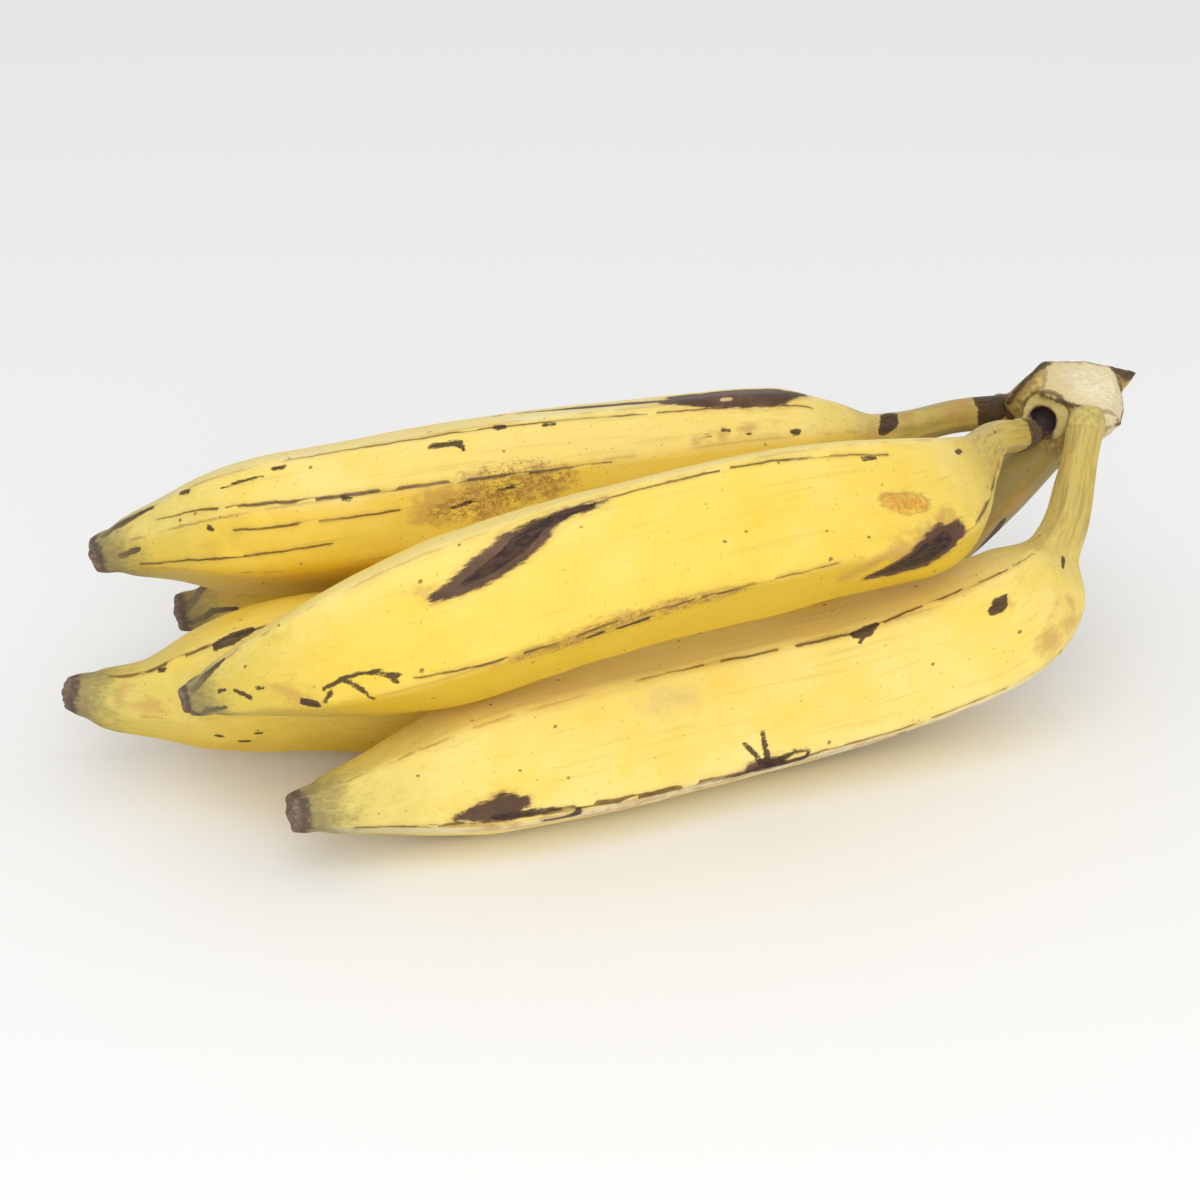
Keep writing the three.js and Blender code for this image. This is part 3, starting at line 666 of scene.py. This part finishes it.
def crown_object(shape):
    """The cushion: the lump that the knife left, collars, a torn spike and the socket."""
    bm = bmesh.new()
    ball = [
        (math.cos(a) * math.cos(b), math.sin(a) * math.cos(b), math.sin(b))
        for a in np.linspace(0, 2 * math.pi, 16, endpoint=False)
        for b in np.linspace(-math.pi / 2, math.pi / 2, 9)
    ]
    soft = [(x + r * u, y + r * v, z + r * w) for x, y, z, r in FLESH for u, v, w in ball]
    hull(bm, [*CUT_EDGE, *soft])
    hull(bm, SPIKE)
    heart = np.array(CUSHION_HEART, float)
    for name, line in LINES.items():
        curve, _ = line_through(line)
        root, ahead = curve[-1], curve[-1] - curve[-4]
        ahead = ahead / np.linalg.norm(ahead)
        neck = GIRTHS[name][-1][1]
        bend = root + ahead * COLLAR_LENGTH
        inwards = [bend + (heart - bend) * share for share in (0.3, 0.7)]
        route = [root - ahead * shape.overlap, root, bend, *inwards]
        tube(bm, route, (neck + 0.2, neck + 0.3, neck, neck - 0.6, 3.6))
    mouth, facing = Vector(SOCKET_MOUTH), Vector(SOCKET_FACING).normalized()
    tube(bm, [mouth - facing * k for k in (0, 3, 8, 14)], (7.0, 7.4, 7.4, 7.0))
    crown = add_object("plantain_crown", mesh_of(bm, "plantain_crown"))

    bore = bmesh.new()
    slant = Vector((-0.55, 0.1, -0.75))
    path = [mouth + facing * k + slant * max(0, -k) * 0.55 for k in (2, 0, -1.5, -3.5, -4.8)]
    path = [p + Vector((-1.0, 0.2, -1.4)) for p in path]
    tube(bore, path, (5.6, 4.9, 4.4, 3.9, 2.2))
    cutter = add_object("cutter", mesh_of(bore, "cutter"))

    def remesh(title):
        skin = crown.modifiers.new(title, "REMESH")
        skin.mode = "VOXEL"
        skin.voxel_size = shape.crown_grain * MM

    remesh("One skin")
    hollow = crown.modifiers.new("Hollow", "BOOLEAN")
    hollow.operation = "DIFFERENCE"
    hollow.object = cutter
    remesh("Even")
    soften = crown.modifiers.new("Soften", "SMOOTH")
    soften.factor = 0.5
    soften.iterations = 3
    apply_modifiers(crown)
    bpy.data.objects.remove(cutter)
    mesh = crown.data

    co = np.empty(len(mesh.vertices) * 3)
    mesh.vertices.foreach_get("co", co)
    co = co.reshape(-1, 3) / MM - CENTRING
    normal = np.array([v.normal[:] for v in mesh.vertices])
    cut = inside_face(co, [CUT_EDGE[k] for k in CREAM_FACE], CUT_THICKNESS)
    dark = near_strokes(co, [[(*CUT_EDGE[k], w) for k, w in stroke] for stroke in DARK_EDGES])
    dark = np.maximum(dark, near_strokes(co, DARK_SPOTS))
    away = co - np.array(mouth)
    depth = away @ np.array(facing)
    ring = np.linalg.norm(away - depth[:, None] * np.array(facing), axis=1)
    socket = (ring < SOCKET_RADIUS) & (depth > -SOCKET_DEPTH)
    cut = np.maximum(cut, near_strokes(co, CREAM_SPOTS))
    cut = np.where((ring < RIM_RADIUS) & (depth > -3), -MARK_REACH, cut)
    rough = ripple(co, 2.2, 3) * 0.35 + ripple(co, 7, 4) * 0.5
    fibres = ripple(co * np.array([0.5, 1.3, 1.3]), 1.4, 6) * 0.3 * smooth_step(0, 2, cut)
    co = co + normal * (rough * 0.6 + fibres)[:, None]
    box = frame_box("crown")
    low, high = np.array(box[0]) / MM, np.array(box[1]) / MM
    placed = np.clip(co + CENTRING, low + 0.02, high - 0.02)
    mesh.vertices.foreach_set("co", (placed * MM).ravel())
    mesh.update()
    mesh.shade_smooth()
    store(
        mesh,
        lay=co / LAY_SCALE,
        cut=within_reach(cut),
        tawny=smooth_step(157, 146, co[:, 0]),
        stalk=within_reach(near_strokes(co, STALK_SPOTS)),
        dark=within_reach(dark),
        lip=np.where(socket, ring, FAR_OFF),
        depth=np.where(socket, -depth, FAR_OFF),
    )
    return crown


def frame_box(node):
    """Lowest and highest corner of a CAD node at rest."""
    low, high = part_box(node)
    return tuple(low), tuple(high)


# Materials


class Wire:
    """A node's output, which takes part in Python expressions."""

    def __init__(self, recipe, socket):
        self.recipe = recipe
        self.socket = socket

    def math(self, operation, *values):
        return self.recipe.add("ShaderNodeMath", {"operation": operation}, dict(enumerate(values)))

    def __add__(self, other):
        return self.math("ADD", self, other)

    def __radd__(self, other):
        return self.math("ADD", other, self)

    def __sub__(self, other):
        return self.math("SUBTRACT", self, other)

    def __rsub__(self, other):
        return self.math("SUBTRACT", other, self)

    def __mul__(self, other):
        return self.math("MULTIPLY", self, other)

    def __rmul__(self, other):
        return self.math("MULTIPLY", other, self)

    def __gt__(self, other):
        return self.math("GREATER_THAN", self, other)

    def __abs__(self):
        return self.math("ABSOLUTE", self)


class Recipe:
    """One material, and the nodes that expressions add to it."""

    def __init__(self, name):
        self.material = bpy.data.materials.new(name)
        self.material.use_nodes = True
        self.tree = self.material.node_tree
        self.tree.nodes.clear()
        self.colour = None

    def add(self, kind, settings, sockets, output=0):
        """Any node: its settings first, then values or wires for its sockets."""
        node = self.tree.nodes.new(kind)
        for key, value in settings.items():
            setattr(node, key, value)
        for key, value in sockets.items():
            if isinstance(value, Wire):
                self.tree.links.new(value.socket, node.inputs[key])
            else:
                node.inputs[key].default_value = value
        if output is not None:
            return Wire(self, node.outputs[output])

    def stored(self, name, output="Fac"):
        return self.add("ShaderNodeAttribute", {"attribute_name": name}, {}, output)

    def clouds(self, place, scale, detail=3.0, roughness=0.55, output="Fac"):
        sockets = {"Vector": place, "Scale": scale, "Detail": detail, "Roughness": roughness}
        return self.add("ShaderNodeTexNoise", {}, sockets, output)

    def step(self, value, low, high):
        """What smooth_step does."""
        sockets = {"Value": value, "From Min": low, "From Max": high}
        return self.add("ShaderNodeMapRange", {"interpolation_type": "SMOOTHSTEP"}, sockets)

    def tones(self, value, low, high, dark, light):
        """Dark below low and light above high."""
        return self.mix(self.step(value, low, high), dark, light)

    def fibres(self, place, by, scale, detail, roughness):
        """Clouds drawn out along one way."""
        drawn_out = self.add("ShaderNodeVectorMath", {"operation": "MULTIPLY"}, {0: place, 1: by})
        return self.clouds(drawn_out, scale, detail, roughness)

    def coat(self, share, over):
        """Lays a share of a colour over what the material has so far."""
        self.colour = self.mix(share, self.colour, over)

    def mix(self, share, first, second):
        """Colours of three numbers are those of a screen, of 0 to 255."""
        sockets = {0: share, 6: first, 7: second}
        for key in (6, 7):
            if isinstance(sockets[key], tuple) and len(sockets[key]) == 3:
                sockets[key] = paint(*sockets[key])
        return self.add("ShaderNodeMix", {"data_type": "RGBA"}, sockets, 2)

    def shift(self, place, by, amount):
        """A place moved by a share of another vector."""
        moved = self.add("ShaderNodeVectorMath", {"operation": "SCALE"}, {0: by, "Scale": amount})
        return self.add("ShaderNodeVectorMath", {"operation": "ADD"}, {0: place, 1: moved})

    def cells(self, place, scale):
        """Distance to the nearest of scattered points, and a random number for each."""
        node = {"Vector": place, "Scale": scale}
        near = self.add("ShaderNodeTexVoronoi", {}, node, "Distance")
        pick = Wire(self, near.socket.node.outputs["Color"])
        return near, self.add("ShaderNodeSeparateColor", {}, {0: pick})

    def finish(self, roughness, **sockets):
        """Gives the material its one surface."""
        sockets = {"Base Color": self.colour, "Roughness": roughness, **sockets}
        shader = self.add("ShaderNodeBsdfPrincipled", {}, sockets)
        self.add("ShaderNodeOutputMaterial", {}, {"Surface": shader}, None)
        return self.material

    def skin(self, roughness, height, distance):
        """A surface with a soft sheen, and a relief of a height in metres."""
        bump = {"Strength": 1.0, "Distance": distance, "Height": height}
        dull = {"Normal": self.add("ShaderNodeBump", {}, bump), "Specular IOR Level": SHEEN}
        return self.finish(roughness, **dull)


def paint(red, green, blue):
    """A colour of 0 to 255 on a screen, as the shader wants it."""
    parts = (value / 255 for value in (red, green, blue))
    return (*(v / 12.92 if v <= 0.04045 else ((v + 0.055) / 1.055) ** 2.4 for v in parts), 1.0)


def peel_material(look):
    m = Recipe("plantain_peel")
    lay = m.stored("lay", "Vector")
    broad = m.clouds(lay, 0.45)
    middling = m.clouds(lay, 1.6, 4)
    fine = m.clouds(lay, 7, 5, 0.6)
    grit = m.clouds(lay, 26, 3, 0.6)
    strands = m.fibres(lay, (0.16, 3.4, 3.4), 1.6, 4, 0.6)
    threads = m.fibres(lay, (0.12, 9, 9), 1.4, 3, 0.6)
    feather = m.fibres(lay, (0.45, 1.7, 1.7), 6, 5, 0.65)
    sway, fuzz, fray = middling - 0.5, fine - 0.5, feather - 0.5
    wavy = m.shift(lay, m.clouds(lay, 5, 3, 0.6, "Color"), 0.12)

    # pale holds the peel's own tone and the painted light and shade of each face
    pale = m.stored("pale") + (broad - 0.5) * 0.7 + sway * 0.3
    m.colour = m.mix(m.step(pale, 0.0, 0.5), tuple(look.ripe), tuple(look.yellow))
    m.coat(m.step(pale, 0.4, 1.0), tuple(look.cream))
    m.coat(m.step(pale, 1.0, 1.4) * 0.9, tuple(look.bleached))
    m.coat(m.step(strands, 0.52, 0.72) * 0.26, tuple(look.olive))
    m.coat(m.step(threads, 0.58, 0.75) * 0.14, tuple(look.tan))
    tip, crown, neck = m.stored("from_tip"), m.stored("from_crown"), m.stored("neck")
    wander = sway * 26 + fuzz * 12
    m.coat(m.step(tip + wander, 58, 10) * 0.5, tuple(look.olive))
    near_neck = m.step(crown + wander, 80, 34) * (0.4 + neck * 0.4)
    m.coat(near_neck, (206, 184, 104))
    # Dark olive toward the crown by the neck weight: the neck's own olive, and painted shade on the
    # necks that lie under the others
    m.coat(m.step(crown + wander, 62, 20) * neck, (150, 130, 62))
    grain = m.step(m.fibres(lay, (0.25, 3, 3), 2.4, 4, 0.65), 0.45, 0.62)
    m.coat(grain * m.step(crown, 56, 30) * 0.5, (146, 128, 74))

    # Ridges: a brown line, broken and of uneven width
    crest = abs(m.stored("crest") + fuzz * 0.9)
    by_ridge = m.stored("crest_near")
    broken = m.step(m.fibres(lay, (0.6, 1, 1), 1.1, 3, 0.55), 0.44, 0.6)
    line = m.step(crest + fray * 1.2, 0.6, 0.15) * by_ridge
    body = m.step(tip, 8, 16) * m.step(crown, 30, 50)
    near_end = m.step(tip, 76, 24)
    m.coat(line * broken * body * (0.3 + near_end * 0.35), (146, 110, 48))
    m.coat(m.step(crest, 3.2, 0.4) * by_ridge * broken * 0.2, (206, 168, 84))

    for scale, size, chance, strength in SPECKS:
        near, pick = m.cells(wavy, scale)
        dot = m.step(near, size, size * 0.55) * (pick > chance)
        m.coat(dot * strength, (104, 74, 42))

    def mask(name, soft=0.35, ragged=1.0):
        """Where a stored kind of mark lies, with an edge that noise makes ragged."""
        edge = m.stored(name) + fray * ragged * 4.4 + (grit - 0.5) * ragged * 1.2
        return m.step(edge, -soft, soft)

    # Stains, and the painted shadow on the lower fruit's neck
    stain_and_shadow = mask("stain_and_shadow", 1.6, 1.4) * m.step(middling, 0.36, 0.6)
    m.coat(stain_and_shadow * 0.6, m.mix(feather, (168, 118, 52), (206, 158, 86)))
    dots = m.step(fine + (grit - 0.5) * 0.9 + fray * 0.5, 0.42, 0.62)
    scuffed = m.mix(fine, (84, 54, 20), (168, 122, 44))
    m.coat(mask("scuff", 2.2, 1.6) * dots * 0.75, scuffed)
    smudge = mask("smudge", 2.6, 1.2) * m.step(middling, 0.25, 0.7)
    m.coat(smudge * 0.45, (200, 170, 104))
    fold = abs(m.stored("crease") + sway * 1.4)
    fold = m.stored("crease_width") + fray * 0.7 - fold
    m.coat(m.step(fold, -1.4, 0.4) * 0.3, (186, 146, 58))
    crease = m.step(fold, -0.25, 0.3) * m.step(broken * 0.3 + strands, 0.2, 0.62)
    m.coat(crease * 0.92, m.tones(feather, 0.3, 0.8, (66, 44, 18), (134, 102, 42)))
    bruise = mask("bruise", 0.6, 0.8)
    around = m.step(m.stored("bruise") + fray * 6, -2.6, 0.8)
    m.coat(around * 0.35, (160, 116, 60))
    shade = feather * 0.3 + middling * 0.7 + (broad - 0.5) * 0.5
    deep = m.tones(shade, 0.42, 0.76, (60, 31, 27), (100, 62, 52))
    m.coat(bruise * 0.94, deep)
    scab = mask("scab", 1.4, 1.6) * m.step(fine, 0.36, 0.56)
    m.coat(scab * 0.9, m.tones(grit, 0.35, 0.65, (186, 108, 16), (236, 182, 64)))
    # Dark marks, and the painted shadow on the lower fruit's neck
    mark_and_shadow = mask("mark_and_shadow", 0.25, 0.5)
    m.coat(mark_and_shadow * 0.93, m.tones(feather, 0.36, 0.66, (18, 10, 8), (78, 50, 32)))
    m.coat(mask("fleck", 0.3, 0.4) * 0.8, (232, 200, 140))

    # The dried flower end
    ended = m.step(tip + fray * 22 + sway * 14, 21, 3)
    m.coat(ended * 0.6, m.tones(feather, 0.34, 0.66, (112, 102, 70), (158, 146, 98)))
    m.coat(m.step(tip + sway * 12, 17, 3) * 0.55, (128, 116, 88))
    tip = tip + sway * 6 + fray * 4
    scar = m.step(tip, 4.4, 2.0)
    m.coat(scar * 0.9, m.tones(feather, 0.36, 0.64, (88, 70, 60), (134, 114, 98)))
    around_scar = scar * m.step(tip, 0.4, 1.6) * m.step(feather, 0.36, 0.5)
    m.coat(around_scar * 0.5, (52, 38, 32))

    dry = ended * 0.3 + bruise * 0.08 + mark_and_shadow * 0.12
    roughness = look.roughness + sway * 0.18 + (grit - 0.5) * 0.1 + dry
    height = (
        fine * 0.22 + grit * 0.14 + threads * 0.3 + strands * 0.25
        - bruise * 0.35 - mark_and_shadow * 0.25 + mask("scab", 0.8, 0.7) * 1.1 + ended * fine * 1.6
    )
    return m.skin(roughness, height, look.relief * MM)


def crown_material(look):
    m = Recipe("plantain_crown")
    lay = m.stored("lay", "Vector")
    broad = m.clouds(lay, 1.3, 3)
    middling = m.clouds(lay, 3.4, 4, 0.6)
    fine = m.clouds(lay, 12, 5, 0.65)
    sway, fuzz = middling - 0.5, fine - 0.5
    fibres = m.fibres(lay, (1, 5, 5), 4, 4, 0.65)
    skin = m.tones(middling, 0.34, 0.66, (156, 128, 66), (206, 182, 108))
    skin = m.mix(m.step(broad, 0.5, 0.66) * 0.55, skin, (112, 86, 50))
    streaks = m.step(m.fibres(lay, (3, 3, 0.6), 2, 3, 0.5), 0.36, 0.7)
    stalk = m.mix(streaks * 0.7, (208, 188, 108), (168, 148, 84))
    skin = m.mix(m.step(m.stored("stalk") + fuzz * 2, -0.4, 0.6), skin, stalk)
    cut = m.stored("cut")
    flesh = m.tones(fibres, 0.32, 0.66, (222, 206, 156), (243, 232, 200))
    flesh = m.mix(m.step(broad, 0.5, 0.66) * 0.55, flesh, (226, 196, 162))
    flesh = m.mix(m.step(cut + (broad - 0.5) * 10, 5.5, 1.0) * 0.4, flesh, (206, 186, 126))
    flesh = m.mix(m.stored("tawny") * 0.75, flesh, (208, 188, 132))
    flesh = m.mix(m.step(fine, 0.6, 0.74) * 0.35, flesh, (186, 150, 106))
    rim = m.step(cut + sway * 2.4, 1.1, 0.2)
    flesh = m.mix(rim * 0.6, flesh, (140, 104, 64))
    m.colour = m.mix(m.step(cut + fuzz * 1.2, -0.3, 0.3), skin, flesh)
    lip, depth = m.stored("lip"), m.stored("depth")
    at_mouth = m.step(depth, 4.2, 2.6)
    groove = m.step(lip + sway * 1.0, 8.8, 8.2) * at_mouth
    m.coat(groove * 0.8, (116, 92, 44))
    ring = m.step(lip + sway * 0.8, 7.6, 7.1) * at_mouth
    m.coat(ring * 0.95, m.mix(fine, (184, 164, 92), (214, 196, 132)))
    wall = m.step(lip + fuzz * 0.8, 5.9, 5.4)
    wall = wall * m.step(depth, 8, 6) * m.step(depth, 0.3, 0.9)
    m.coat(wall * 0.9, m.mix(middling, (158, 118, 104), (214, 172, 150)))
    # The core: its own near-black purple, and painted shade deep in the hollow
    core_and_shade = m.step(depth + sway * 1.4, 0.8, 2.0) * m.step(lip, 5.6, 5.0)
    m.coat(core_and_shade * 0.97, m.mix(fine, (24, 16, 20), (60, 42, 44)))
    # Dark strokes: the cut's brown edges, the spike's base, the back neck's black end, and painted
    # shade round the end of the middle's neck
    dark = m.step(m.stored("dark") + fuzz * 3.4 + sway * 2.6, -0.5, 0.6)
    m.coat(dark * 0.9, m.tones(fine, 0.4, 0.64, (40, 28, 22), (104, 76, 50)))
    height = fine * 0.4 + fibres * 0.25 + middling * 0.7 - rim * 0.5
    return m.skin(0.62 + sway * 0.2, height, look.relief * 2.5 * MM)


# The add-on


def colour(name, description, default):
    return FloatVectorProperty(
        name=name, description=description, default=default, subtype="COLOR", size=4, min=0, max=1
    )


def number(name, description, default, low, high, subtype="NONE"):
    return FloatProperty(
        name=name, description=description, default=default, min=low, max=high, subtype=subtype
    )


def count(name, description, default, low):
    return IntProperty(name=name, description=description, default=default, min=low)


class PlantainShape(bpy.types.PropertyGroup):
    """Sizes that a user may change before the pieces are made; lengths are in millimetres."""

    rings: count("Rings", "Rings of vertices along a fruit", 380, 40)
    sides: count("Sides", "Vertices round a fruit", 192, 24)
    flatness: number(
        "Flatness", "How flat the faces between the ridges are", 0.82, 0, 1, "FACTOR"
    )
    rounding: number("Ridge rounding", "Degrees over which a ridge is rounded", 5.0, 1, 20)
    lift: number("Lift", "Keeps the mean girth as the faces are flattened", 1.045, 1, 1.1)
    ridge_drift: number(
        "Ridge drift", "Degrees by which ridges wander along a fruit", 2.5, 0, 10
    )
    swell: number(
        "Swell", "Height of the fruit's broad unevenness, in millimetres", 0.45, 0, 2
    )
    dents: number("Dents", "Height of the fruit's small dents, in millimetres", 0.4, 0, 2)
    overlap: number(
        "Collar overlap", "How far a collar reaches over its neck, in millimetres", 1.2, 0, 5
    )
    crown_grain: number(
        "Crown grain", "Size of the crown's mesh cells, in millimetres", 0.5, 0.3, 2
    )


class PlantainLook(bpy.types.PropertyGroup):
    """Colours and finish of the peel, the crown and the floor."""

    # Ripe yellow goes on the least pale faces, partly as painted shade on faces turned down
    ripe: colour("Ripe yellow", "The deepest yellow, on faces turned down", paint(222, 184, 44))
    yellow: colour("Yellow", "The yellow of most of the peel", paint(242, 208, 82))
    cream: colour("Cream", "The palest peel", paint(247, 223, 132))
    bleached: colour("Bleached", "The near white underside", paint(238, 230, 200))
    olive: colour("Olive", "The unripe tinge at the ends", paint(184, 170, 72))
    tan: colour("Tan", "Fine lengthwise threads", paint(196, 150, 74))
    floor: colour("Floor", "The floor", (0.93, 0.93, 0.93, 1))
    roughness: number("Roughness", "Roughness of sound peel", 0.46, 0, 1, "FACTOR")
    relief: number(
        "Relief", "Height of the peel's finest relief, in millimetres", 0.22, 0, 2
    )


class PLANTAIN_OT_fruits(bpy.types.Operator):
    """Make the five fruits with their necks"""

    bl_idname = "plantain.fruits"
    bl_label = "Fruits"

    def execute(self, context):
        scene = context.scene
        peel = peel_material(scene.plantain_look)
        for name in LINES:
            piece = add_object("plantain_" + name, fruit_mesh(name, scene.plantain_shape))
            piece.data.materials.append(peel)
            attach(piece, "root")
            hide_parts("finger_" + name)
        return {"FINISHED"}


class PLANTAIN_OT_crown(bpy.types.Operator):
    """Make the cut crown that holds the necks"""

    bl_idname = "plantain.crown"
    bl_label = "Crown"

    def execute(self, context):
        scene = context.scene
        piece = crown_object(scene.plantain_shape)
        piece.data.materials.append(crown_material(scene.plantain_look))
        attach(piece, "root")
        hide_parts("crown")
        return {"FINISHED"}


class PLANTAIN_OT_stage(bpy.types.Operator):
    """Make the floor, the lights and the camera"""

    bl_idname = "plantain.stage"
    bl_label = "Stage"

    def execute(self, context):
        bm = bmesh.new()
        bmesh.ops.create_grid(bm, x_segments=1, y_segments=1, size=FLOOR_HALF)
        mesh = bpy.data.meshes.new("floor")
        bm.to_mesh(mesh)
        bm.free()
        floor = add_object("floor", mesh)
        matt = Recipe("floor")
        matt.colour = tuple(context.scene.plantain_look.floor)
        mesh.materials.append(matt.finish(FLOOR_ROUGHNESS))

        world = bpy.data.worlds.new("studio")
        context.scene.world = world
        world.use_nodes = True
        background = world.node_tree.nodes["Background"]
        background.inputs["Color"].default_value = (1, 1, 1, 1)
        background.inputs["Strength"].default_value = DAYLIGHT
        for name, place, size, power in LIGHTS:
            data = bpy.data.lights.new(name, "AREA")
            data.shape = "DISK"
            data.size = size
            data.energy = power
            lamp = add_object(name, data)
            lamp.location = place
            aim = Vector(LIGHTS_AIM) - Vector(place)
            lamp.rotation_euler = aim.to_track_quat("-Z", "Y").to_euler()

        data = bpy.data.cameras.new("camera")
        data.lens = CAMERA_LENS
        data.sensor_width = CAMERA_SENSOR
        camera = add_object("camera", data)
        camera.location = CAMERA_PLACE
        camera.rotation_euler = [math.radians(a) for a in CAMERA_TURN]
        context.scene.camera = camera
        context.scene.view_settings.view_transform = "Standard"
        return {"FINISHED"}


class PLANTAIN_PT_panel(bpy.types.Panel):
    """Lists what the add-on makes and the values that it makes it from"""

    bl_label = "Plantain Hand"
    bl_idname = "PLANTAIN_PT_panel"
    bl_space_type = "VIEW_3D"
    bl_region_type = "UI"
    bl_category = "Plantain"

    def draw(self, context):
        for group in (context.scene.plantain_shape, context.scene.plantain_look):
            for key in group.bl_rna.properties.keys():
                if key not in ("rna_type", "name"):
                    self.layout.prop(group, key)
        for operator in OPERATORS:
            self.layout.operator(operator.bl_idname)


OPERATORS = (PLANTAIN_OT_fruits, PLANTAIN_OT_crown, PLANTAIN_OT_stage)
CLASSES = (PlantainShape, PlantainLook, *OPERATORS, PLANTAIN_PT_panel)


def register():
    for cls in CLASSES:
        bpy.utils.register_class(cls)
    bpy.types.Scene.plantain_shape = PointerProperty(type=PlantainShape)
    bpy.types.Scene.plantain_look = PointerProperty(type=PlantainLook)


def unregister():
    del bpy.types.Scene.plantain_look
    del bpy.types.Scene.plantain_shape
    for cls in reversed(CLASSES):
        bpy.utils.unregister_class(cls)


def main():
    register()
    bpy.ops.plantain.fruits()
    bpy.ops.plantain.crown()
    bpy.ops.plantain.stage()


if __name__ == "__main__":
    main()
